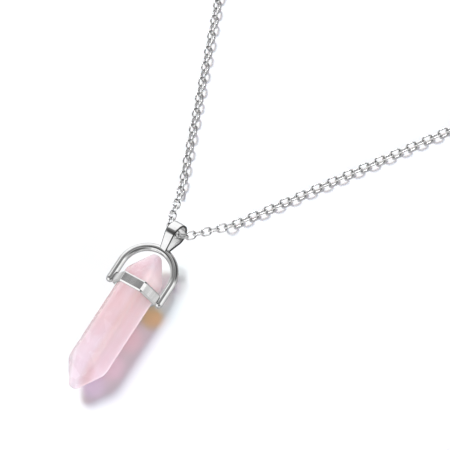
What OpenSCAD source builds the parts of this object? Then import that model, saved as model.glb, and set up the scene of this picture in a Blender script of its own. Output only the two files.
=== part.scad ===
// Rose quartz necklace: a six-sided quartz point in a silver collar and horseshoe arch,
// on a closed cable chain that lies on a flat surface. Millimetres, +Z up, the surface is z = 0.
// The chain's loop is symmetric about the Y axis and the point hangs towards -Y.

/* [Stone] */
// Centre to corner of the six-sided stone
stone_r = 4.4; // [4:0.1:4.8]
// Collar's middle to the sharp meeting point of the lower facets
lower_apex = 24.9; // [20:0.1:30]
// Collar's middle to the sharp meeting point of the upper facets
upper_apex = 9.5; // [9.2:0.1:9.6]
// Length of each pointed end, before its tip is blunted
point_h = 6.7; // [5:0.1:7.2]
// How much of the sharp lower tip is worn away
lower_blunt = 1.45; // [0.8:0.05:1.6]
// How much of the sharp upper tip is worn away
upper_blunt = 1.6; // [1.5:0.05:1.7]
// Width of the soft bevel along each long edge
edge_bevel = 0.5; // [0.2:0.05:0.8]

/* [Setting] */
// Wall of the six-sided collar, measured corner to corner
collar_wall = 0.75; // [0.6:0.05:0.8]
// Height of the collar along the stone
collar_h = 2.3; // [1.8:0.1:3]
// Clearance between the stone's corner and the collar's
stone_gap = 0.1; // [0.05:0.01:0.15]
// Thickness of the arch's round wire
arch_wire = 1.65; // [1.5:0.05:1.7]
// Radius of the arch's inner edge
arch_r = 4.9; // [4.85:0.01:4.95]
// Height of the arch's centre above the collar's middle
arch_y = 3.45; // [3.4:0.05:3.6]
// How far the arch stands in front of the collar's middle
arch_front = 0.3; // [0.1:0.05:0.3]
// How far the round leg ends reach below the collar's middle
leg_reach = 1.45; // [1.3:0.05:1.9]

/* [Bail] */
// Outer radius of the bail's round top
bail_r = 2.45; // [2.4:0.05:2.7]
// Height of the round top's centre above the feet
bail_h = 4; // [4:0.1:4.4]
// Thickness of the bail's strap
bail_t = 0.4; // [0.35:0.05:0.4]
// Width of the strap at its top
bail_top_w = 2.4; // [2.2:0.1:2.8]
// Width of the strap where it meets the arch
bail_foot_w = 1.35; // [1.2:0.05:1.6]
// Half the spread of the bail's feet, front to back
bail_foot = 0.75; // [0.65:0.05:0.8]
// Forward lean of the bail
bail_lean = 4; // [0:1:6]
// Turn of the bail about its own length
bail_turn = 6; // [0:1:8]
// Sideways tilt of the bail's top
bail_tilt = 2.5; // [0:0.5:3]
// How far the bail stands to the right of the arch's middle
bail_side = 0.5; // [0.3:0.05:0.55]
// How far the bail stands in front of the collar's middle
bail_front = 0.35; // [0.25:0.05:0.4]
// How far the bail's feet lie below the arch's highest point
bail_sunk = 0.73; // [0.65:0.02:0.77]

/* [Chain] */
// Outside length of a link
link_l = 2.54; // [2.54:0.01:2.6]
// Outside width of a link
link_w = 1.85; // [1.8:0.05:1.9]
// Thickness of a link's wire
link_wire = 0.34; // [0.32:0.01:0.34]
// Distance from one link to the next
pitch = 1.7; // [1.66:0.01:1.7]
// Links on each side of the one inside the bail
links_each_side = 118; // [60:2:120]
// Half the angle between the two straight strands
half_angle = 28.8; // [27:0.2:31]
// Radius of the chain's bend through the bail
bend_r = 2.9; // [2.8:0.1:4]
// Length over which the chain comes down from the bail to the surface
drop_l = 13; // [12:1:20]
// Turn of the pendant against the loop's middle line
pendant_turn = 6.7; // [4:0.1:8]

/* [Clasp] */
// Length of the clasp's barrel
barrel_l = 6; // [5:0.5:8]
// Radius of the clasp's barrel
barrel_r = 1.2; // [1.1:0.05:1.4]
// Radius of each eye's wire
eye_wire_r = 0.3; // [0.26:0.02:0.32]
// Radius of each eye, to the middle of its wire
eye_r = 0.85; // [0.8:0.05:0.9]

/* [Hidden] */
silver = [0.78, 0.79, 0.80];
rose = [0.94, 0.80, 0.84];

// Collar and pendant height: the collar's back flat rests on the surface
collar_in = stone_r + stone_gap;
collar_r = collar_in + collar_wall;
axis_z = collar_r * cos(30);

// Arch and bail, in the pendant's frame: x across, y towards the bail, z to the front
wire_half = arch_wire / 2;
arch_mid = arch_r + wire_half;
bail_y = arch_y + arch_r + arch_wire - bail_sunk;
foot_sink = 0.45;
tip_flat = 0.5;
round_fn = 96;
small_round_fn = 32;
link_fn = 24;
wire_fn = 16;
bail_axis_y = bail_y + bail_h;
// Tangent angle of the bail's straight legs, and their length
foot_to_axis = sqrt(bail_h * bail_h + bail_foot * bail_foot);
leg_l = sqrt(foot_to_axis * foot_to_axis - bail_r * bail_r);
leg_angle = asin(bail_r / foot_to_axis) - atan2(bail_foot, bail_h);

// Where the chain's middle link sits in the bail's loop
pass_right = 0.54;
pass_up = 0.26;
pass_front = 0.45;
pass = [pass_right, bail_axis_y + pass_up, axis_z + pass_front];

// Chain heights: links roll 45 degrees left and right in turn
link_roll = 45;
rest_gap = 0.02;
rest_z = (link_w - link_wire) / 2 * sin(link_roll) + link_wire / 2 + rest_gap;
clasp_z = barrel_r;
clasp_rise_l = 8;

// Plan of the loop: a small bend at the bail, two straight strands and one large arc
function smooth(t) = let (u = min(max(t, 0), 1)) u * u * (3 - 2 * u);
function bail_z(s) = rest_z + (pass[2] - rest_z) * (1 - smooth(s / drop_l));
slope_step = 0.05;
function bail_slope(s) = (bail_z(s + slope_step) - bail_z(s - slope_step)) / (2 * slope_step);
bend_l = bend_r * (90 - half_angle) * PI / 180;
// Links in the bend sit this much closer together, so that they stay clear of each other
bend_slack = 0.08;
function step_at(s) = s < bend_l ? pitch - bend_slack : pitch;
function stride(s) = step_at(s) / sqrt(1 + pow(bail_slope(s + pitch / 2), 2));
stations = [for (i = 0, s = 0; i <= links_each_side; s = s + stride(s), i = i + 1) s];

link_reach = link_l / 2 - link_wire;
eye_clear = 0.12;
eye_step = link_reach + eye_r - eye_wire_r - eye_clear;
eye_overlap = 0.15;
eye_x = barrel_l / 2 + eye_r + eye_wire_r - eye_overlap;
half_route = stations[links_each_side] + eye_step + eye_x;
arc_turn = 90 + half_angle;
arc_r = (half_route - bend_l + bend_r / tan(half_angle)) / (1 / tan(half_angle) + arc_turn * PI / 180);
strand_l = (arc_r - bend_r) / tan(half_angle);
bend_cy = bend_r / sin(half_angle);
arc_cy = arc_r / sin(half_angle);

// The pendant's place: its bail holds the middle of the small bend
function turned(p, a) = [p[0] * cos(a) - p[1] * sin(a), p[0] * sin(a) + p[1] * cos(a)];
pass_turned = turned([pass[0], pass[1]], pendant_turn);
pendant_at = [-pass_turned[0], bend_cy - bend_r - pass_turned[1]];
tip_y = pendant_at[1] - (lower_apex - lower_blunt) * cos(pendant_turn) - tip_flat * sin(pendant_turn);
clasp_y = arc_cy + arc_r - eye_x * eye_x / (2 * arc_r);
top_y = clasp_y + barrel_r;
shift_y = -(tip_y + top_y) / 2;

// Route of the chain for a distance s of 0 or more along its right half
function arc_point(cy, r, a) = [r * sin(a), cy - r * cos(a)];
function bend_angle(s) = s / bend_r * 180 / PI;
function arc_angle(s) = 90 - half_angle + (s - bend_l - strand_l) / arc_r * 180 / PI;
function strand_point(s) = arc_point(bend_cy, bend_r, 90 - half_angle)
    + (s - bend_l) * [sin(half_angle), cos(half_angle)];
function plan(s) = s < bend_l ? arc_point(bend_cy, bend_r, bend_angle(s))
    : s < bend_l + strand_l ? strand_point(s)
    : arc_point(arc_cy, arc_r, arc_angle(s));
function clasp_lift(s) = (clasp_z - rest_z) * smooth(1 - (half_route - eye_x - s) / clasp_rise_l);
function height(s) = bail_z(s) + clasp_lift(s);
// Both halves: a negative distance is the left half
function route(s) = let (p = plan(abs(s))) [s < 0 ? -p[0] : p[0], p[1], height(abs(s))];

module in_pendant() {
    translate([pendant_at[0], pendant_at[1] + shift_y, axis_z])
        rotate([0, 0, pendant_turn])
            children();
}

// Corners of a six-sided ring of radius r at height y, with each corner bevelled
function hex_corner(k) = [cos(60 * k), sin(60 * k)];
function bevelled_hex(r, y) = let (cut = edge_bevel / stone_r)
    [for (k = [0:5], side = [-1, 1])
        let (p = hex_corner(k) * (1 - cut) + hex_corner(k + side) * cut) [p[0] * r, y, p[1] * r]];

module stone() {
    soft = 0.35;
    tip_soft = 0.6;
    taper = stone_r / point_h;
    lower_y = lower_apex - lower_blunt;
    upper_y = upper_apex - upper_blunt;
    levels = [
        [-lower_y, tip_flat],
        [-lower_y + tip_soft, (lower_blunt + tip_soft) * taper],
        [-lower_apex + point_h - soft, stone_r - soft * taper],
        [-lower_apex + point_h + soft, stone_r],
        [upper_apex - point_h - soft, stone_r],
        [upper_apex - point_h + soft, stone_r - soft * taper],
        [upper_y - tip_soft, (upper_blunt + tip_soft) * taper],
        [upper_y, tip_flat]
    ];
    n = 12;
    last = len(levels) - 1;
    points = [for (level = levels) each bevelled_hex(level[1], level[0])];
    sides = [for (j = [0:last - 1], k = [0:n - 1])
        [j * n + k, j * n + (k + 1) % n, (j + 1) * n + (k + 1) % n, (j + 1) * n + k]];
    lower_end = [for (k = [n - 1:-1:0]) k];
    upper_end = [for (k = [0:n - 1]) last * n + k];
    color(rose) in_pendant() polyhedron(points, concat(sides, [lower_end, upper_end]));
}

module collar() {
    rotate([90, 0, 0])
        translate([0, 0, -collar_h / 2])
            linear_extrude(height = collar_h)
                difference() {
                    circle(r = collar_r, $fn = 6);
                    circle(r = collar_in, $fn = 6);
                }
}

// Round wire: a half ring, and two straight legs with round ends
module arch() {
    end_y = wire_half - leg_reach;
    translate([0, arch_y, arch_front])
        rotate_extrude(angle = 180, $fn = round_fn)
            translate([arch_mid, 0])
                circle(r = wire_half, $fn = small_round_fn);
    for (side = [-1, 1])
        translate([side * arch_mid, end_y, arch_front]) {
            rotate([-90, 0, 0])
                cylinder(r = wire_half, h = arch_y - end_y, $fn = small_round_fn);
            sphere(r = wire_half, $fn = small_round_fn);
        }
}

// The bail in its own frame: y up from the arch, z to the front, the hole along x
module bail_strap() {
    wide = bail_top_w + 1;
    translate([0, bail_h, 0])
        rotate([0, 90, 0])
            rotate([0, 0, -leg_angle])
                rotate_extrude(angle = 180 + 2 * leg_angle, $fn = round_fn)
                    translate([bail_r - bail_t, -wide / 2])
                        square([bail_t, wide]);
    for (side = [-1, 1])
        translate([0, bail_h, 0])
            rotate([side * leg_angle, 0, 0])
                translate([-wide / 2, -leg_l - foot_sink, side > 0 ? bail_r - bail_t : -bail_r])
                    cube([wide, leg_l + foot_sink, bail_t]);
}

module bail() {
    spare = 0.1;
    top = bail_h + bail_r + spare;
    widest_rise = 0.2;
    widest = bail_h + widest_rise * bail_r;
    deep = 4 * bail_r;
    color(silver)
        translate([bail_side, bail_y, bail_front])
            rotate([bail_lean, 0, -bail_tilt])
                rotate([0, -bail_turn, 0])
                    intersection() {
                        bail_strap();
                        translate([0, 0, -deep / 2])
                            linear_extrude(height = deep)
                                polygon([
                                    [-bail_foot_w / 2, -foot_sink],
                                    [bail_foot_w / 2, -foot_sink],
                                    [bail_top_w / 2, widest],
                                    [bail_top_w / 2, top],
                                    [-bail_top_w / 2, top],
                                    [-bail_top_w / 2, widest]
                                ]);
                    }
}

module setting() {
    color(silver)
        in_pendant() {
            collar();
            arch();
            bail();
        }
}

// One oval link, its length along x and its flat side up
module chain_link() {
    wire_r = link_wire / 2;
    end_r = link_w / 2 - wire_r;
    half_straight = (link_l - link_w) / 2;
    for (side = [-1, 1]) {
        translate([side * half_straight, 0, 0])
            rotate([0, 0, side > 0 ? -90 : 90])
                rotate_extrude(angle = 180, $fn = link_fn)
                    translate([end_r, 0])
                        circle(r = wire_r, $fn = wire_fn);
        translate([-half_straight, side * end_r, 0])
            rotate([0, 90, 0])
                cylinder(r = wire_r, h = 2 * half_straight, $fn = wire_fn);
    }
}

module chain() {
    color(silver)
        for (i = [-links_each_side:links_each_side]) {
            s = (i < 0 ? -1 : 1) * stations[abs(i)];
            ahead = route(s + pitch / 2) - route(s - pitch / 2);
            p = route(s);
            translate([p[0], p[1] + shift_y, p[2]])
                rotate([0, -atan2(ahead[2], norm([ahead[0], ahead[1]])), atan2(ahead[1], ahead[0])])
                    rotate([i % 2 == 0 ? link_roll : -link_roll, 0, 0])
                        chain_link();
        }
}

// A plain closed barrel with a fixed eye at each end
module clasp() {
    neck_r = 0.7;
    shoulder = 0.8;
    color(silver)
        translate([0, clasp_y + shift_y, clasp_z]) {
            rotate([0, 90, 0])
                rotate_extrude($fn = small_round_fn)
                    polygon([
                        [0, -barrel_l / 2],
                        [neck_r, -barrel_l / 2],
                        [barrel_r, -barrel_l / 2 + shoulder],
                        [barrel_r, barrel_l / 2 - shoulder],
                        [neck_r, barrel_l / 2],
                        [0, barrel_l / 2]
                    ]);
            for (side = [-1, 1])
                translate([side * eye_x, 0, 0])
                    rotate([link_roll, 0, 0])
                        rotate_extrude($fn = small_round_fn)
                            translate([eye_r, 0])
                                circle(r = eye_wire_r, $fn = wire_fn);
        }
}

stone();
setting();
chain();
clasp();
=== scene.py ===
"""Rose quartz necklace: the looks of each piece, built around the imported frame.

Metres, +Z up, and the surface that the necklace lies on is z = 0. The pendant's own frame has
x across the arch, y along the stone towards the bail and z to the front, from the collar's middle.
"""

import math

import bpy
import numpy as np
from mathutils import Matrix, Vector, noise


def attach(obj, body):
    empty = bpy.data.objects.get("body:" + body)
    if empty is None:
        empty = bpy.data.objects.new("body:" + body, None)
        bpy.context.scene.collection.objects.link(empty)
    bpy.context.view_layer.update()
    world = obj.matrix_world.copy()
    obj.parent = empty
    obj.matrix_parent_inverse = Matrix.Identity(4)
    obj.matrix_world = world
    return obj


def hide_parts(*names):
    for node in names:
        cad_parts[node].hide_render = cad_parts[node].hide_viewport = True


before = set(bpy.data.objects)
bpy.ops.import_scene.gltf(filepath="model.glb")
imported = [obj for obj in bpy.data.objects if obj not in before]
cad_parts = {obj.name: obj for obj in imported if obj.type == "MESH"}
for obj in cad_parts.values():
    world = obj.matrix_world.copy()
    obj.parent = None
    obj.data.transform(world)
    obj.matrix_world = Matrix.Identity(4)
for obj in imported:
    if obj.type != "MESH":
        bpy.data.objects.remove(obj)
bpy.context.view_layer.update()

MM = 0.001

# Stone, as in the part's source
STONE_R = 4.4 * MM
LOWER_APEX = 24.9 * MM
UPPER_APEX = 9.5 * MM
POINT_H = 6.7 * MM
TIP_FLAT = 0.5 * MM
LOWER_BLUNT = 1.45 * MM
UPPER_BLUNT = 1.6 * MM
FACET_SOFTNESS = 0.16 * MM

# Collar and arch
COLLAR_WALL = 0.75 * MM
COLLAR_H = 2.3 * MM
STONE_GAP = 0.1 * MM
COLLAR_BEVEL = 0.4 * MM
COLLAR_FINE_BEVEL = 0.03 * MM
ARCH_WIRE = 1.65 * MM
ARCH_R = 4.9 * MM
ARCH_Y = 3.45 * MM
ARCH_FRONT = 0.3 * MM
LEG_REACH = 1.45 * MM

# Bail
BAIL_R = 2.45 * MM
BAIL_H = 4.0 * MM
BAIL_T = 0.4 * MM
BAIL_TOP_W = 2.4 * MM
BAIL_FOOT_W = 1.35 * MM
BAIL_FOOT = 0.75 * MM
BAIL_LEAN = math.radians(4)
BAIL_TURN = math.radians(6)
BAIL_TILT = math.radians(2.5)
BAIL_SIDE = 0.5 * MM
BAIL_FRONT = 0.35 * MM
BAIL_SUNK = 0.73 * MM
FOOT_SINK = 0.45 * MM
WIDEST_RISE = 0.2
# Squareness of the strap's section, and how far out its cut edges begin
STRAP_POWER = 7
STRAP_EDGE = 0.83

# Chain
LINK_L = 2.54 * MM
LINK_W = 1.85 * MM
LINK_WIRE = 0.34 * MM
PITCH = 1.7 * MM
LINKS_EACH_SIDE = 118
# Links on each side of the middle one that hang clear of the floor at the bail
LINKS_AT_BAIL = 6
HALF_ANGLE = math.radians(28.8)
BEND_R = 2.9 * MM
BEND_SLACK = 0.08 * MM
DROP_L = 13 * MM
PENDANT_TURN = math.radians(6.7)
LINK_ROLL = math.radians(45)
REST_GAP = 0.02 * MM
SLOPE_STEP = 0.05 * MM
PASS_RIGHT = 0.54 * MM
PASS_UP = 0.26 * MM
PASS_FRONT = 0.45 * MM

# Clasp
BARREL_L = 6 * MM
BARREL_R = 1.2 * MM
EYE_WIRE_R = 0.3 * MM
EYE_R = 0.85 * MM
EYE_CLEAR = 0.12 * MM
EYE_OVERLAP = 0.15 * MM
CLASP_RISE_L = 8 * MM

# Worked out from those sizes
COLLAR_IN = STONE_R + STONE_GAP
COLLAR_R = COLLAR_IN + COLLAR_WALL
AXIS_Z = COLLAR_R * math.cos(math.radians(30))
WIRE_HALF = ARCH_WIRE / 2
ARCH_MID = ARCH_R + WIRE_HALF
BAIL_Y = ARCH_Y + ARCH_R + ARCH_WIRE - BAIL_SUNK
REST_Z = (LINK_W - LINK_WIRE) / 2 * math.sin(LINK_ROLL) + LINK_WIRE / 2 + REST_GAP
PASS = Vector((PASS_RIGHT, BAIL_Y + BAIL_H + PASS_UP, AXIS_Z + PASS_FRONT))
BEND_L = BEND_R * (math.pi / 2 - HALF_ANGLE)


def smooth(t):
    """An even step from 0 to 1 that starts and ends flat."""
    u = min(max(t, 0.0), 1.0)
    return u * u * (3 - 2 * u)


def bail_z(s):
    """Height of the chain at a distance s from the bail, before the clasp lifts it."""
    return REST_Z + (PASS.z - REST_Z) * (1 - smooth(s / DROP_L))


def stations():
    """Distance of each link from the middle one, along the plan of one strand."""
    found = [0.0]
    while len(found) <= LINKS_EACH_SIDE:
        s = found[-1]
        step = PITCH - BEND_SLACK if s < BEND_L else PITCH
        middle = s + PITCH / 2
        slope = (bail_z(middle + SLOPE_STEP) - bail_z(middle - SLOPE_STEP)) / (2 * SLOPE_STEP)
        found.append(s + step / math.sqrt(1 + slope * slope))
    return found


STATIONS = stations()
EYE_STEP = LINK_L / 2 - LINK_WIRE + EYE_R - EYE_WIRE_R - EYE_CLEAR
EYE_X = BARREL_L / 2 + EYE_R + EYE_WIRE_R - EYE_OVERLAP
HALF_ROUTE = STATIONS[-1] + EYE_STEP + EYE_X
COT = 1 / math.tan(HALF_ANGLE)
ARC_R = (HALF_ROUTE - BEND_L + BEND_R * COT) / (COT + math.pi / 2 + HALF_ANGLE)
STRAND_L = (ARC_R - BEND_R) * COT
BEND_CY = BEND_R / math.sin(HALF_ANGLE)
ARC_CY = ARC_R / math.sin(HALF_ANGLE)
TURN = Matrix.Rotation(PENDANT_TURN, 4, "Z")
PASS_TURNED = TURN @ PASS
TIP_Y = (BEND_CY - BEND_R - PASS_TURNED.y
         - (LOWER_APEX - LOWER_BLUNT) * math.cos(PENDANT_TURN) - TIP_FLAT * math.sin(PENDANT_TURN))
CLASP_Y = ARC_CY + ARC_R - EYE_X * EYE_X / (2 * ARC_R)
SHIFT_Y = -(TIP_Y + CLASP_Y + BARREL_R) / 2
PENDANT_AT = Vector((-PASS_TURNED.x, BEND_CY - BEND_R - PASS_TURNED.y + SHIFT_Y, AXIS_Z))
PENDANT = Matrix.Translation(PENDANT_AT) @ TURN


def route(s):
    """The chain's middle line: a negative distance is the left half."""
    d = abs(s)
    if d < BEND_L:
        angle, cy, r = d / BEND_R, BEND_CY, BEND_R
        x, y = r * math.sin(angle), cy - r * math.cos(angle)
    elif d < BEND_L + STRAND_L:
        run = d - BEND_L
        x = BEND_R * math.cos(HALF_ANGLE) + run * math.sin(HALF_ANGLE)
        y = BEND_CY - BEND_R * math.sin(HALF_ANGLE) + run * math.cos(HALF_ANGLE)
    else:
        angle = math.pi / 2 - HALF_ANGLE + (d - BEND_L - STRAND_L) / ARC_R
        x, y = ARC_R * math.sin(angle), ARC_CY - ARC_R * math.cos(angle)
    lift = (BARREL_R - REST_Z) * smooth(1 - (HALF_ROUTE - EYE_X - d) / CLASP_RISE_L)
    return Vector((-x if s < 0 else x, y + SHIFT_Y, bail_z(d) + lift))


# Mesh helpers


def new_object(name, verts, faces, material, smooth_shading=True):
    mesh = bpy.data.meshes.new(name)
    mesh.from_pydata([tuple(v) for v in verts], [], faces)
    mesh.validate()
    mesh.update()
    obj = bpy.data.objects.new(name, mesh)
    bpy.context.scene.collection.objects.link(obj)
    for m in material if isinstance(material, (list, tuple)) else [material]:
        mesh.materials.append(m)
    if smooth_shading:
        mesh.polygons.foreach_set("use_smooth", [True] * len(mesh.polygons))
    return obj


def add_bevel(obj, width, segments, angle, material=-1):
    bevel = obj.modifiers.new("bevel", "BEVEL")
    bevel.width = width
    bevel.segments = segments
    bevel.limit_method = "ANGLE"
    bevel.angle_limit = math.radians(angle)
    bevel.harden_normals = True
    bevel.material = material
    return bevel


def skin(rings, closed=False):
    """Faces between equal rings of points, with flat caps on an open run."""
    n = len(rings[0])
    verts = [p for ring in rings for p in ring]
    count = len(rings)
    faces = []
    for j in range(count if closed else count - 1):
        a, b = j * n, ((j + 1) % count) * n
        for k in range(n):
            after = (k + 1) % n
            faces.append((a + k, a + after, b + after, b + k))
    if not closed:
        faces.append(tuple(range(n - 1, -1, -1)))
        faces.append(tuple((count - 1) * n + k for k in range(n)))
    return verts, faces


# Materials

# Places of a Mix node's colour sockets, which share their names with those of its other kinds
COLOUR_A, COLOUR_B, COLOUR_RESULT = 6, 7, 2


class Graph:
    """A material's nodes, made and joined with one short call each."""

    def __init__(self, name):
        self.material = bpy.data.materials.new(name)
        self.material.use_nodes = True
        self.tree = self.material.node_tree
        self.shader = self.tree.nodes["Principled BSDF"]
        self.place = self.node("ShaderNodeTexCoord").outputs["Object"]

    def node(self, kind, inputs=None, **settings):
        made = self.tree.nodes.new(kind)
        for key, value in settings.items():
            setattr(made, key, value)
        for key, value in (inputs or {}).items():
            self.put(made.inputs[key], value)
        return made

    def put(self, socket, value):
        if isinstance(value, bpy.types.NodeSocket):
            self.tree.links.new(value, socket)
        else:
            socket.default_value = value

    def set(self, **values):
        for key, value in values.items():
            self.put(self.shader.inputs[key.replace("_", " ")], value)

    def noise(self, scale, detail=3.0, roughness=0.5, stretch=None, distortion=0.0):
        vector = self.place
        if stretch:
            vector = self.node("ShaderNodeMapping", {"Vector": vector, "Scale": stretch}).outputs["Vector"]
        made = self.node("ShaderNodeTexNoise", {
            "Vector": vector, "Scale": scale, "Detail": detail, "Roughness": roughness,
            "Distortion": distortion,
        })
        return made.outputs["Fac"]

    def cells(self, scale):
        """Angular cells, each with a value of its own."""
        made = self.node("ShaderNodeTexVoronoi", {"Vector": self.place, "Scale": scale, "Randomness": 1.0})
        return made.outputs["Color"]

    def along(self, direction):
        """How far a point is from the origin along a direction of the pendant's frame."""
        made = self.node("ShaderNodeVectorMath", {0: self.place, 1: TURN @ Vector(direction)},
                         operation="DOT_PRODUCT")
        return made.outputs["Value"]

    def times(self, a, b):
        return self.node("ShaderNodeMath", {0: a, 1: b}, operation="MULTIPLY").outputs["Value"]

    def ramp(self, value, *stops):
        made = self.node("ShaderNodeValToRGB", {"Fac": value})
        ramp = made.color_ramp
        while len(ramp.elements) < len(stops):
            ramp.elements.new(0.5)
        for element, (place, level) in zip(ramp.elements, stops):
            element.position = place
            element.color = (level, level, level, 1.0)
        return made.outputs["Color"]

    def mix(self, factor, a, b, blend="MIX"):
        made = self.node("ShaderNodeMix", data_type="RGBA", blend_type=blend)
        self.put(made.inputs["Factor"], factor)
        self.put(made.inputs[COLOUR_A], a)
        self.put(made.inputs[COLOUR_B], b)
        return made.outputs[COLOUR_RESULT]

    def span(self, value, low, high, to_low=0.0, to_high=1.0):
        made = self.node(
            "ShaderNodeMapRange",
            {"Value": value, "From Min": low, "From Max": high, "To Min": to_low, "To Max": to_high},
        )
        return made.outputs["Result"]

    def bump(self, height, strength, distance):
        made = self.node("ShaderNodeBump", {"Height": height, "Strength": strength, "Distance": distance})
        self.put(self.shader.inputs["Normal"], made.outputs["Normal"])


def linear(r, g, b):
    """A linear colour from 8-bit screen values."""
    def one(v):
        v /= 255
        return v / 12.92 if v <= 0.04045 else ((v + 0.055) / 1.055) ** 2.4
    return (one(r), one(g), one(b))


def silver(name, roughness, grain, tint, stretch=None, depth=0.004, streaks=0.1):
    """Polished or brushed silver: fine scratches move its gloss, its surface and its tone a little."""
    g = Graph(name)
    scratches = g.noise(grain, 4.0, 0.6, stretch)
    clouds = g.noise(450.0, 2.0, 0.5, stretch)
    base = linear(*tint)
    dull = tuple(v * (1 - streaks) for v in base)
    g.set(Base_Color=g.mix(g.span(clouds, 0.35, 0.65), (*dull, 1), (*base, 1)))
    g.set(Metallic=1.0)
    g.set(Roughness=g.span(scratches, 0.3, 0.75, roughness * 0.8, roughness * 1.35))
    g.bump(scratches, 0.35, depth * MM)
    return g.material


def rose_quartz():
    """Milky pink stone: cloudy veils, fine wisps and angular flaws inside, warmer near the collar."""
    g = Graph("rose_quartz")
    # Across and along the stone, and where the collar's middle is on both
    x, y = g.along((1, 0, 0)), g.along((0, 1, 0))
    middle = TURN.inverted() @ PENDANT_AT
    middle_x, collar_y = middle.x, middle.y
    below = g.span(y, collar_y - 2 * MM, collar_y - 22 * MM)
    above = g.span(y, collar_y, collar_y + 7 * MM)
    past_collar = g.span(y, collar_y - 1 * MM, collar_y + 1 * MM)
    veils = g.noise(170.0, 5.0, 0.55, (1.0, 0.4, 1.0), 0.8)
    clouds = g.noise(80.0, 3.0, 0.5)
    folds = g.noise(260.0, 2.0, 0.5, (1.0, 0.35, 1.0), 2.5)
    specks = g.noise(900.0, 3.0, 0.6)

    # Along the stone, with its clouds, veils, flaws and wisps
    warm = (0.570, 0.422, 0.425, 1)
    rose = (0.595, 0.515, 0.545, 1)
    upper = (0.550, 0.430, 0.435, 1)
    peach = (0.600, 0.470, 0.450, 1)
    milk = (0.655, 0.600, 0.625, 1)
    flaw = (0.76, 0.69, 0.72, 1)
    body = g.mix(below, warm, rose)
    body = g.mix(above, body, upper)
    body = g.mix(g.span(clouds, 0.45, 0.62, 0.0, 0.35), body, peach)
    body = g.mix(g.span(veils, 0.46, 0.66, 0.0, 0.5), body, milk)
    body = g.mix(g.times(g.span(g.cells(480.0), 0.64, 0.70, 0.0, 0.36), below), body, flaw)
    wisp = g.ramp(folds, (0.0, 0.0), (0.485, 0.0), (0.5, 1.0), (0.515, 0.0), (1.0, 0.0))
    body = g.mix(g.times(wisp, g.span(clouds, 0.4, 0.6, 0.55, 0.0)), body, milk)

    # Across it: painted shade deepens the left side, and painted light makes the right facets and the left
    # rim evenly pale
    painted_left_shade = (0.70, 0.67, 0.66, 1)
    painted_right_light_warm = (0.67, 0.545, 0.525, 1)
    painted_right_light_rose = (0.70, 0.585, 0.61, 1)
    painted_right_light_upper = (0.86, 0.70, 0.67, 1)
    rim = (0.78, 0.76, 0.77, 1)
    # Painted shade on the stone's left side
    body = g.mix(g.span(x, middle_x - 0.5 * MM, middle_x - 3.6 * MM), body, painted_left_shade, "MULTIPLY")
    # Painted light on the right facets, paler still above the collar
    right = g.mix(past_collar, g.mix(below, painted_right_light_warm, painted_right_light_rose), painted_right_light_upper)
    body = g.mix(g.span(x, middle_x + 1.0 * MM, middle_x + 3.0 * MM, 0.0, 0.9), body, right)
    # Painted light on the left rim
    body = g.mix(g.span(x, middle_x - 3.7 * MM, middle_x - 4.0 * MM), body, rim)

    # Painted shade on the crease between the front and the right facet, below the collar, as it gathers
    # less light
    crease = g.times(g.span(x, middle_x + 0.7 * MM, middle_x + 1.7 * MM),
                     g.span(x, middle_x + 3.0 * MM, middle_x + 2.2 * MM))
    shade = g.mix(past_collar, (0.90, 0.84, 0.80, 1), (1, 1, 1, 1))
    body = g.mix(crease, body, shade, "MULTIPLY")

    g.set(Base_Color=body)
    g.set(Roughness=g.span(specks, 0.3, 0.7, 0.2, 0.3))
    g.shader.subsurface_method = "RANDOM_WALK"
    g.set(Subsurface_Weight=1.0, Subsurface_Scale=0.009, IOR=1.45)
    g.set(Specular_IOR_Level=0.05, Subsurface_Radius=(1.0, 0.75, 0.8))
    g.bump(g.noise(420.0, 2.0), 0.06, 0.02 * MM)
    return g.material


def chain_silver():
    """Bright silver, rougher and with dark painted shade inside the link ends, where the next link passes.
    """
    g = Graph("chain_silver")
    scratches = g.noise(3000.0, 4.0, 0.6)
    painted_crevice_shade = g.node("ShaderNodeAttribute", attribute_name="crevice").outputs["Fac"]
    bright, dark = (*linear(240, 240, 240), 1), (*linear(112, 112, 112), 1)
    glossy, dull = (0.12, 0.12, 0.12, 1), (0.4, 0.4, 0.4, 1)
    # Painted shade where the links meet
    g.set(Base_Color=g.mix(painted_crevice_shade, bright, dark))
    g.set(Metallic=1.0)
    g.set(Roughness=g.mix(painted_crevice_shade, glossy, dull))
    g.bump(scratches, 0.35, 0.004 * MM)
    return g.material


def floor_white():
    g = Graph("floor_white")
    paper = g.noise(60.0, 3.0)
    g.set(Base_Color=g.mix(g.span(paper, 0.3, 0.7), (0.755, 0.76, 0.74, 1), (0.765, 0.77, 0.75, 1)))
    g.set(Roughness=0.9, Specular_IOR_Level=0.1)
    return g.material


# Stone


def facet_planes():
    """Unit normals and distances of the stone's 18 facets and 2 worn tips."""
    flat = STONE_R * math.cos(math.radians(30))
    slope = Vector((POINT_H, flat)).normalized()
    planes = []
    for k in range(6):
        a = math.radians(30 + 60 * k)
        side = Vector((math.cos(a), 0, math.sin(a)))
        planes.append((side, flat))
        planes.append((Vector((side.x * slope.x, -slope.y, side.z * slope.x)), LOWER_APEX * slope.y))
        planes.append((Vector((side.x * slope.x, slope.y, side.z * slope.x)), UPPER_APEX * slope.y))
    planes.append((Vector((0, -1, 0)), LOWER_APEX - LOWER_BLUNT))
    planes.append((Vector((0, 1, 0)), UPPER_APEX - UPPER_BLUNT))
    return np.array([tuple(n) for n, d in planes]), np.array([d for n, d in planes])


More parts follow.
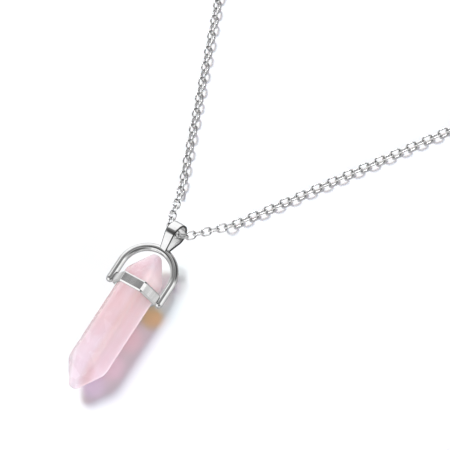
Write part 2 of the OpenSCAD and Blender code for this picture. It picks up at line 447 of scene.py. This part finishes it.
def stone_surface(origins, directions):
    """Where rays from inside meet the facets, whose edges are blended softly."""
    normals, distances = facet_planes()
    farthest, halvings = 12 * MM, 40
    low = np.zeros(len(origins))
    high = np.full(len(origins), farthest)
    for _ in range(halvings):
        middle = (low + high) / 2
        points = origins + directions * middle[:, None]
        over = (points @ normals.T - distances) / FACET_SOFTNESS
        top = over.max(axis=1)
        value = top + np.log(np.exp(over - top[:, None]).sum(axis=1))
        inside = value < 0
        low = np.where(inside, middle, low)
        high = np.where(inside, high, middle)
    return origins + directions * low[:, None]


def make_stone(material):
    """Rays from the axis out to the facets, fanned round a centre at each end."""
    around, body_rings, end_rings = 144, 56, 40
    lower_centre = -LOWER_APEX + POINT_H + 2.2 * MM
    upper_centre = UPPER_APEX - POINT_H - 1.2 * MM
    wave, wave_size, axis_clear = 0.006 * MM, 260.0, 0.2 * MM
    # Where each ring's rays leave the axis, and how far they tilt towards an end
    rows = []
    for j in range(end_rings, 0, -1):
        rows.append((lower_centre, -math.pi / 2 * j / (end_rings + 0.5)))
    for j in range(body_rings + 1):
        rows.append((lower_centre + (upper_centre - lower_centre) * j / body_rings, 0.0))
    for j in range(1, end_rings + 1):
        rows.append((upper_centre, math.pi / 2 * j / (end_rings + 0.5)))
    origins, directions = [], []
    for y, tilt in rows:
        for k in range(around):
            a = 2 * math.pi * k / around
            origins.append((0, y, 0))
            directions.append((math.cos(tilt) * math.cos(a), math.sin(tilt), math.cos(tilt) * math.sin(a)))
    ends = [((0, lower_centre, 0), (0, -1, 0)), ((0, upper_centre, 0), (0, 1, 0))]
    origins += [e[0] for e in ends]
    directions += [e[1] for e in ends]
    points = stone_surface(np.array(origins), np.array(directions))
    verts = []
    for p in points:
        v = Vector(p)
        out = Vector((v.x, 0, v.z))
        out = out.normalized() if out.length > axis_clear else Vector((0, 0, 0))
        verts.append(PENDANT @ (v + out * wave * noise.noise(v * wave_size)))
    faces = []
    count = len(rows)
    for j in range(count - 1):
        for k in range(around):
            after = (k + 1) % around
            here, there = j * around, (j + 1) * around
            faces.append((here + k, there + k, there + after, here + after))
    low_pole, high_pole = count * around, count * around + 1
    last = (count - 1) * around
    for k in range(around):
        after = (k + 1) % around
        faces.append((low_pole, k, after))
        faces.append((high_pole, last + after, last + k))
    stone = new_object("rose_quartz_point", verts, faces, material)
    # The silver doesn't mirror the stone, and neither the arch nor the chain
    stone.visible_glossy = False
    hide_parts("stone")
    return stone


# Setting


def make_collar(faces_material, edges_material):
    """Six-sided ring whose outer corners and rims have broad polished bevels."""
    verts, faces = [], []
    for y in (-COLLAR_H / 2, COLLAR_H / 2):
        for r in (COLLAR_R, COLLAR_IN):
            for k in range(6):
                a = math.radians(60 * k)
                verts.append(PENDANT @ Vector((r * math.cos(a), y, r * math.sin(a))))
    lo_out, lo_in, hi_out, hi_in = 0, 6, 12, 18
    for k in range(6):
        after = (k + 1) % 6
        faces.append((lo_out + k, hi_out + k, hi_out + after, lo_out + after))
        faces.append((lo_in + k, lo_in + after, hi_in + after, hi_in + k))
        faces.append((lo_out + k, lo_out + after, lo_in + after, lo_in + k))
        faces.append((hi_out + k, hi_in + k, hi_in + after, hi_out + after))
    collar = new_object("collar", verts, faces, [faces_material, edges_material])
    # Each kind of edge has its share of the bevel's width
    corner, lower_rim, upper_rim, inside = 1.0, 0.75, 0.85, 0.2
    weights = collar.data.attributes.new("bevel_weight_edge", "FLOAT", "EDGE")
    for edge in collar.data.edges:
        i, j = edge.vertices
        outer = [v < lo_in or hi_out <= v < hi_in for v in (i, j)]
        if all(outer):
            along = abs(i - j) == hi_out
            rim = lower_rim if i < lo_in else upper_rim
            weights.data[edge.index].value = corner if along else rim
        else:
            weights.data[edge.index].value = inside
    bevel = add_bevel(collar, COLLAR_BEVEL, 1, 30, 1)
    bevel.limit_method = "WEIGHT"
    bevel.harden_normals = False
    add_bevel(collar, COLLAR_FINE_BEVEL, 2, 20)
    return collar


def strap_point(k, sides, across, deep):
    """A point of the strap's section, a rectangle with rounded corners."""
    a = 2 * math.pi * (k + 0.5) / sides
    c, s = math.cos(a), math.sin(a)
    return (math.copysign(abs(c) ** (2 / STRAP_POWER), c) * across / 2,
            math.copysign(abs(s) ** (2 / STRAP_POWER), s) * deep / 2)


def make_arch(material):
    """Round wire: two straight legs and a half ring between them, with rounded leg ends."""
    sides = 40
    leg_steps, turn_steps, end_steps = 16, 80, 9
    # The first ring of a rounded end is a little off its pole, so that it isn't a point
    off_pole = 0.35
    end_y = WIRE_HALF - LEG_REACH
    # Middle of each ring of points, the way out of the arch there, and the ring's radius
    leg = []
    for j in range(end_steps):
        a = math.pi / 2 * (j + off_pole) / end_steps
        leg.append((end_y - WIRE_HALF * math.cos(a), WIRE_HALF * math.sin(a)))
    for j in range(leg_steps):
        leg.append((end_y + (ARCH_Y - end_y) * j / leg_steps, WIRE_HALF))
    path = [((ARCH_MID, y), 0.0, r) for y, r in leg]
    for j in range(turn_steps + 1):
        a = math.pi * j / turn_steps
        path.append(((ARCH_MID * math.cos(a), ARCH_Y + ARCH_MID * math.sin(a)), a, WIRE_HALF))
    path += [((-ARCH_MID, y), math.pi, r) for y, r in leg[::-1]]
    rings = []
    for (x, y), a, r in path:
        ring = []
        for k in range(sides):
            b = 2 * math.pi * k / sides
            out = r * math.cos(b)
            spot = Vector((x + out * math.cos(a), y + out * math.sin(a), ARCH_FRONT + r * math.sin(b)))
            ring.append(PENDANT @ spot)
        rings.append(ring)
    verts, faces = skin(rings)
    arch = new_object("arch", verts, faces, material)
    arch.visible_glossy = False
    return arch


def make_bail(outside, inside, cut_edge):
    """One folded strap: up the front leg, over the round top and down the back leg."""
    leg_reach = math.hypot(BAIL_H, BAIL_FOOT)
    leg_l = math.sqrt(leg_reach ** 2 - BAIL_R ** 2)
    leg_angle = math.asin(BAIL_R / leg_reach) - math.atan2(BAIL_FOOT, BAIL_H)
    widest = BAIL_H + WIDEST_RISE * BAIL_R
    middle_r = BAIL_R - BAIL_T / 2
    path = []
    leg_steps, turn_steps = 16, 64
    front_normal = -leg_angle
    start = Vector((0, BAIL_H + middle_r * math.sin(front_normal), middle_r * math.cos(front_normal)))
    along = Vector((0, -math.cos(leg_angle), -math.sin(leg_angle)))
    for j in range(leg_steps):
        run = (leg_l + FOOT_SINK) * (1 - j / leg_steps)
        path.append((start + along * run, front_normal))
    for j in range(turn_steps + 1):
        a = front_normal + (math.pi + 2 * leg_angle) * j / turn_steps
        path.append((Vector((0, BAIL_H + middle_r * math.sin(a), middle_r * math.cos(a))), a))
    end = path[-1][0]
    back = Vector((0, -math.cos(leg_angle), math.sin(leg_angle)))
    for j in range(1, leg_steps + 1):
        run = (leg_l + FOOT_SINK) * j / leg_steps
        path.append((end + back * run, math.pi + leg_angle))
    place = (PENDANT @ Matrix.Translation((BAIL_SIDE, BAIL_Y, BAIL_FRONT))
             @ Matrix.Rotation(-BAIL_TILT, 4, "Z") @ Matrix.Rotation(BAIL_LEAN, 4, "X")
             @ Matrix.Rotation(-BAIL_TURN, 4, "Y"))
    sides = 28
    outside_slot, inside_slot, edge_slot = 0, 1, 2
    rings = []
    for middle, a in path:
        rise = min(max((middle.y + FOOT_SINK) / (widest + FOOT_SINK), 0), 1)
        width = BAIL_FOOT_W + (BAIL_TOP_W - BAIL_FOOT_W) * rise
        normal = Vector((0, math.sin(a), math.cos(a)))
        ring = []
        for k in range(sides):
            u, v = strap_point(k, sides, width, BAIL_T)
            ring.append(place @ (middle + Vector((u, 0, 0)) + normal * v))
        rings.append(ring)
    verts, faces = skin(rings)
    bail = new_object("bail", verts, faces, [outside, inside, cut_edge])
    for face in bail.data.polygons[:(len(rings) - 1) * sides]:
        # Its two corners on a section of half width 1: the second half of the corners is the inside
        k = face.index % sides
        corners = [strap_point(m, sides, 2, 2) for m in (k, (k + 1) % sides)]
        if all(abs(u) > STRAP_EDGE for u, v in corners):
            face.material_index = edge_slot
        else:
            face.material_index = inside_slot if k >= sides // 2 else outside_slot
    return bail


def make_setting(polished, brushed, cut_edge):
    pieces = [make_collar(brushed, polished), make_arch(polished), make_bail(polished, brushed, cut_edge)]
    for piece in pieces:
        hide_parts("setting")
    return pieces


# Chain and clasp


def link_rings(around, sides):
    """One oval link as rings of points, its length along x and flat in the xy plane.

    With each point goes how far it is inside a rounded end, where the next link passes and the chain's
    painted shade falls.
    """
    wire_r = LINK_WIRE / 2
    end_r = LINK_W / 2 - wire_r
    straight = LINK_L - LINK_W
    total = 2 * straight + 2 * math.pi * end_r
    rings, crevices = [], []
    for j in range(around):
        d = total * j / around
        if d < straight:
            middle, out = Vector((d - straight / 2, -end_r, 0)), Vector((0, -1, 0))
        elif d < straight + math.pi * end_r:
            a = (d - straight) / end_r - math.pi / 2
            out = Vector((math.cos(a), math.sin(a), 0))
            middle = Vector((straight / 2, 0, 0)) + out * end_r
        elif d < 2 * straight + math.pi * end_r:
            run = d - straight - math.pi * end_r
            middle, out = Vector((straight / 2 - run, end_r, 0)), Vector((0, 1, 0))
        else:
            a = (d - 2 * straight - math.pi * end_r) / end_r + math.pi / 2
            out = Vector((math.cos(a), math.sin(a), 0))
            middle = Vector((-straight / 2, 0, 0)) + out * end_r
        ring = []
        for k in range(sides):
            b = 2 * math.pi * k / sides
            ring.append(middle + out * wire_r * math.cos(b) + Vector((0, 0, wire_r * math.sin(b))))
            at_end, inward = smooth(abs(out.x) * 1.3), smooth(0.5 - 0.7 * math.cos(b))
            crevices.append(at_end * inward)
        rings.append(ring)
    return rings, crevices


def chain_links(name, numbers, material):
    """The chain's links of these numbers, counted from the middle one in the bail."""
    around, sides = 32, 12
    rings, link_crevices = link_rings(around, sides)
    link_verts, link_faces = skin(rings, closed=True)
    verts, faces, crevices = [], [], []
    for i in numbers:
        s = math.copysign(STATIONS[abs(i)], i)
        ahead = route(s + PITCH / 2) - route(s - PITCH / 2)
        heading = math.atan2(ahead.y, ahead.x)
        climb = math.atan2(ahead.z, math.hypot(ahead.x, ahead.y))
        roll = LINK_ROLL if i % 2 == 0 else -LINK_ROLL
        place = (Matrix.Translation(route(s)) @ Matrix.Rotation(heading, 4, "Z")
                 @ Matrix.Rotation(-climb, 4, "Y") @ Matrix.Rotation(roll, 4, "X"))
        first = len(verts)
        verts += [place @ v for v in link_verts]
        faces += [tuple(first + k for k in face) for face in link_faces]
        crevices += link_crevices
    chain = new_object(name, verts, faces, material)
    # How deep the painted shade between the links goes at each point
    chain.data.attributes.new("crevice", "FLOAT", "POINT").data.foreach_set("value", crevices)
    chain.visible_glossy = False
    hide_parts("chain")
    return chain


def make_chain(material):
    """The chain in two meshes: its lying strands, and the few links that hang at the bail."""
    numbers = range(-LINKS_EACH_SIDE, LINKS_EACH_SIDE + 1)
    lying = [i for i in numbers if abs(i) > LINKS_AT_BAIL]
    hanging = [i for i in numbers if abs(i) <= LINKS_AT_BAIL]
    return [chain_links("cable_chain", lying, material),
            chain_links("cable_chain_at_bail", hanging, material)]


def make_clasp(material):
    """A plain barrel with rounded shoulders, and a fixed eye on each end."""
    shoulder, neck_r, axis_clear = 0.8 * MM, 0.7 * MM, 0.02 * MM
    sides, shoulder_steps, eye_around, eye_sides = 48, 8, 48, 16
    half = BARREL_L / 2
    outline = [(-half, axis_clear), (-half, neck_r)]
    for j in range(shoulder_steps + 1):
        a = math.pi / 2 * (j / shoulder_steps)
        outline.append((-half + shoulder * (1 - math.cos(a)), neck_r + (BARREL_R - neck_r) * math.sin(a)))
    outline += [(-x, r) for x, r in outline[::-1]]
    middle = Vector((0, CLASP_Y + SHIFT_Y, BARREL_R))
    rings = []
    for x, r in outline:
        ring = []
        for k in range(sides):
            a = 2 * math.pi * k / sides
            ring.append(middle + Vector((x, r * math.cos(a), r * math.sin(a))))
        rings.append(ring)
    verts, faces = skin(rings)
    pieces = [new_object("clasp_barrel", verts, faces, material)]
    for side in (-1, 1):
        eye_at = middle + Vector((side * EYE_X, 0, 0))
        place = Matrix.Translation(eye_at) @ Matrix.Rotation(LINK_ROLL, 4, "X")
        rings = []
        for j in range(eye_around):
            a = 2 * math.pi * j / eye_around
            out = Vector((math.cos(a), math.sin(a), 0))
            ring = []
            for k in range(eye_sides):
                b = 2 * math.pi * k / eye_sides
                spot = out * (EYE_R + EYE_WIRE_R * math.cos(b)) + Vector((0, 0, EYE_WIRE_R * math.sin(b)))
                ring.append(place @ spot)
            rings.append(ring)
        verts, faces = skin(rings, closed=True)
        name = "clasp_eye_left" if side < 0 else "clasp_eye_right"
        pieces.append(new_object(name, verts, faces, material))
    for piece in pieces:
        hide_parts("clasp")
    return pieces


# Stage, lights and camera


def make_floor():
    """A wide plain floor, just under the surface that the necklace lies on."""
    half = 8.0
    low = -0.01 * MM
    corners = [(-half, -half, low), (half, -half, low), (half, half, low), (-half, half, low)]
    floor = new_object("floor", corners, [(0, 1, 2, 3)], floor_white(), False)
    # The metal mirrors the tent's panels below the horizon too, as on a shooting table's glass
    floor.visible_glossy = False
    return floor


# What the metal mirrors: the tent's soft panels and dark gaps, each a round patch of the sky, laid
# over those before it. Columns: direction in the pendant's frame, radius of its even middle and of
# its faded edge in degrees, and brightness
SKY_PATCHES = (
    ((0.0, 0.0, -1.0), 70, 88, 0.48),
    ((-0.85, 0.25, -0.45), 20, 36, 0.90),
    ((-0.63, 0.25, -0.74), 8, 16, 0.80),
    ((-0.32, 0.91, -0.25), 10, 20, 1.20),
    ((0.53, -0.74, -0.42), 12, 24, 0.75),
    ((-0.97, -0.15, 0.10), 22, 38, 0.60),
    ((-0.76, -0.12, 0.64), 8, 20, 0.33),
    ((-0.60, 0.70, 0.25), 26, 36, 1.25),
    ((-0.33, 0.08, 0.94), 8, 42, 0.22),
    ((-0.66, 0.42, 0.62), 13, 20, 1.20),
    ((-0.33, -0.72, 0.60), 16, 24, 1.20),
    ((-0.30, -0.90, 0.25), 20, 32, 1.25),
    ((0.70, 0.24, 0.66), 7, 13, 1.25),
    ((0.88, 0.25, 0.38), 12, 24, 1.20),
    ((0.95, 0.25, -0.18), 10, 22, 0.88),
    ((0.46, 0.84, 0.28), 18, 38, 0.10),
    ((-0.32, 0.25, 0.92), 5, 11, 0.44),
    ((0.18, 0.26, 0.95), 16, 25, 0.27),
    ((0.56, -0.52, 0.64), 14, 34, 0.15),
    ((-0.33, -0.20, 0.92), 13, 21, 0.10),
    ((-0.32, 0.25, -0.91), 4, 14, 0.15),
)
MIRRORED_LEVEL = 0.64
# What lights the stone and the floor: an even dome and its tint
DOME_LEVEL = 0.40
SKY_TINT = (0.98, 0.96, 1.09)

# How far the lamps are from what they light, and where the narrow spots come from
AREA_DISTANCE = 1.2
SPOT_DISTANCE = 0.24
SPOTS_FROM = (0.5, -0.3, 1.0)
# Light that the stone and the arch gather on the floor or, where the energy is negative, keep off it.
# Columns: name, place in mm in the pendant's frame, spread in degrees, energy and colour
FLOOR_SPOTS = (
    ("gathered_near", 4.5, -2.3, 0.8, 0.26, (1.0, 0.08, 0.0)),
    ("gathered_far", 6.1, -1.8, 1.1, 0.25, (1.0, 0.3, 0.0)),
    ("absorbed", 4.4, -2.6, 1.4, -0.8, (0.05, 0.32, 1.0)),
    ("blush_upper", 2.6, -8.5, 1.7, 0.42, (1.0, 0.12, 0.25)),
    ("blush_lower", 2.8, -15.0, 1.7, 0.5, (1.0, 0.35, 0.65)),
    ("blush_tip", 1.6, -20.0, 1.6, 0.5, (0.8, 0.45, 1.1)),
    ("arch_shade_top", 4.3, 7.8, 0.8, -1.05, (0.95, 1.0, 1.05)),
    ("arch_shade_side", 5.4, 6.0, 1.1, -1.05, (0.95, 1.0, 1.05)),
    ("arch_shade_low", 6.5, 3.7, 1.0, -0.45, (0.95, 1.0, 1.05)),
    ("clear_point", 2.6, 5.6, 0.8, 0.4, (0.95, 1.0, 1.0)),
    ("arch_gleam", 5.6, 1.6, 1.5, 0.28, (0.25, 1.0, 0.75)),
)


def make_world():
    world = bpy.data.worlds.new("studio")
    bpy.context.scene.world = world
    world.use_nodes = True
    tree = world.node_tree
    background = tree.nodes["Background"]
    coords = tree.nodes.new("ShaderNodeTexCoord")

    def blend(factor, a, b):
        mix = tree.nodes.new("ShaderNodeMix")
        tree.links.new(factor, mix.inputs["Factor"])
        for name, value in (("A", a), ("B", b)):
            if isinstance(value, bpy.types.NodeSocket):
                tree.links.new(value, mix.inputs[name])
            else:
                mix.inputs[name].default_value = value
        return mix.outputs["Result"]

    mirrored = MIRRORED_LEVEL
    for direction, inner, outer, brightness in SKY_PATCHES:
        towards = tree.nodes.new("ShaderNodeVectorMath")
        towards.operation = "DOT_PRODUCT"
        tree.links.new(coords.outputs["Generated"], towards.inputs[0])
        towards.inputs[1].default_value = TURN @ Vector(direction).normalized()
        fade = tree.nodes.new("ShaderNodeMapRange")
        fade.interpolation_type = "SMOOTHSTEP"
        tree.links.new(towards.outputs["Value"], fade.inputs["Value"])
        fade.inputs["From Min"].default_value = math.cos(math.radians(outer))
        fade.inputs["From Max"].default_value = math.cos(math.radians(inner))
        mirrored = blend(fade.outputs["Result"], mirrored, brightness)
    ray = tree.nodes.new("ShaderNodeLightPath")
    level = blend(ray.outputs["Is Glossy Ray"], DOME_LEVEL, mirrored)
    tree.links.new(level, background.inputs["Strength"])
    tint = tree.nodes.new("ShaderNodeMix")
    tint.data_type = "RGBA"
    tree.links.new(ray.outputs["Is Glossy Ray"], tint.inputs["Factor"])
    tint.inputs[COLOUR_A].default_value = (*SKY_TINT, 1)
    tint.inputs[COLOUR_B].default_value = (1, 1, 1, 1)
    tree.links.new(tint.outputs[COLOUR_RESULT], background.inputs["Color"])


def add_lamp(name, kind, aim, towards, distance, energy, colour):
    """A lamp that stands off from its aim. The metal doesn't mirror it: the sky has what that shows."""
    data = bpy.data.lights.new(name, kind)
    data.energy = energy
    data.color = colour
    lamp = bpy.data.objects.new(name, data)
    back = towards.normalized()
    lamp.location = aim + back * distance
    lamp.rotation_mode = "QUATERNION"
    lamp.rotation_quaternion = (-back).to_track_quat("-Z", "Y")
    lamp.visible_glossy = False
    lamp.visible_camera = False
    bpy.context.scene.collection.objects.link(lamp)
    return lamp


def add_area(name, direction, size, energy, colour):
    """A soft round lamp over the pendant, from a direction in the pendant's frame."""
    lamp = add_lamp(name, "AREA", PENDANT_AT, TURN @ Vector(direction), AREA_DISTANCE, energy, colour)
    lamp.data.shape = "DISK"
    lamp.data.size = size
    return lamp


def add_floor_spot(name, x, y, spread, energy, colour):
    """A narrow spot lamp with a soft edge, on a place of the floor."""
    aim = PENDANT @ Vector((x * MM, y * MM, -AXIS_Z))
    lamp = add_lamp(name, "SPOT", aim, TURN @ Vector(SPOTS_FROM), SPOT_DISTANCE, energy, colour)
    lamp.data.spot_size = math.radians(spread)
    lamp.data.spot_blend = 1.0
    lamp.data.shadow_soft_size = 0.0
    lamp.data.use_shadow = False
    return lamp


def group(name, members):
    """A collection that only says which pieces a lamp lights or is stopped by."""
    made = bpy.data.collections.new(name)
    for member in members:
        made.objects.link(member)
    return made


def make_camera():
    """The photograph's view: right, up and back in the pendant's frame, with the roll they give."""
    right = Vector((0.835, 0.529, -0.152))
    back = Vector((0.322, -0.246, 0.914)).normalized()
    right = (right - right.dot(back) * back).normalized()
    up = back.cross(right)
    distance = 1.0
    frame_width = 87.94 * MM
    aim_right, aim_up = 17.30 * MM, 12.52 * MM
    aim = right * aim_right + up * aim_up
    axes = Matrix((right, up, back)).transposed().to_4x4()
    data = bpy.data.cameras.new("camera")
    data.sensor_fit = "HORIZONTAL"
    data.sensor_width = 36
    data.lens = data.sensor_width * distance / frame_width
    data.clip_start, data.clip_end = 0.05, 20
    camera = bpy.data.objects.new("camera", data)
    bpy.context.scene.collection.objects.link(camera)
    camera.matrix_world = PENDANT @ Matrix.Translation(aim + back * distance) @ axes
    bpy.context.scene.camera = camera


make_camera()
floor = make_floor()
make_world()
# The key light is a cool and a warm lamp a little apart, so the shadows have a tinted fringe
keys = [add_area("key_cool", (-0.54, 0.15, 1.0), 0.4, 7.75, (0.76, 1.01, 1.28)),
        add_area("key_warm", (-0.68, 0.20, 1.0), 0.4, 7.75, (1.08, 0.99, 0.74))]
add_area("fill", (0.9, -0.3, 0.22), 0.7, 9.0, (1.0, 0.94, 1.04))
# The rose light that the stone lets through: only the metal stops it
through = add_area("through_stone", (-0.64, 0.27, 1.0), 0.5, 1.6, (1.0, 0.22, 0.45))
# Lights only the chain, and shows in its polish
glint = add_area("chain_glint", (-0.5, 0.6, 1.0), 0.5, 4.0, (1.0, 1.0, 1.0))
glint.visible_glossy = True
floor_spots = [add_floor_spot(*row) for row in FLOOR_SPOTS]

bpy.context.scene.view_settings.view_transform = "Standard"

polished = silver("polished_silver", 0.06, 2600.0, (230, 230, 230))
brushed = silver("brushed_silver", 0.20, 1500.0, (234, 234, 234), (1.0, 0.15, 1.0), 0.01, 0.3)
# A much darker silver for the bail's cut edges
cut_edge = silver("silver_cut_edge", 0.3, 2000.0, (95, 95, 95))

stone = make_stone(rose_quartz())
setting = make_setting(polished, brushed, cut_edge)
chain = make_chain(chain_silver())
clasp = make_clasp(polished)
for piece in [stone, *setting, *chain, *clasp]:
    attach(piece, "root")

# Only the stone and the lying strands stop the key lamps: the photograph shows no key shadow of the
# setting or of the links that hang at the bail
lying_strands = chain[0]
stops_keys = group("stops_keys", [stone, lying_strands])
for lamp in keys:
    lamp.light_linking.blocker_collection = stops_keys
through.light_linking.blocker_collection = group("metal", [*setting, *chain, *clasp])
glint.light_linking.receiver_collection = group("chain_only", chain)
floor_only = group("floor_only", [floor])
for lamp in floor_spots:
    lamp.light_linking.receiver_collection = floor_only
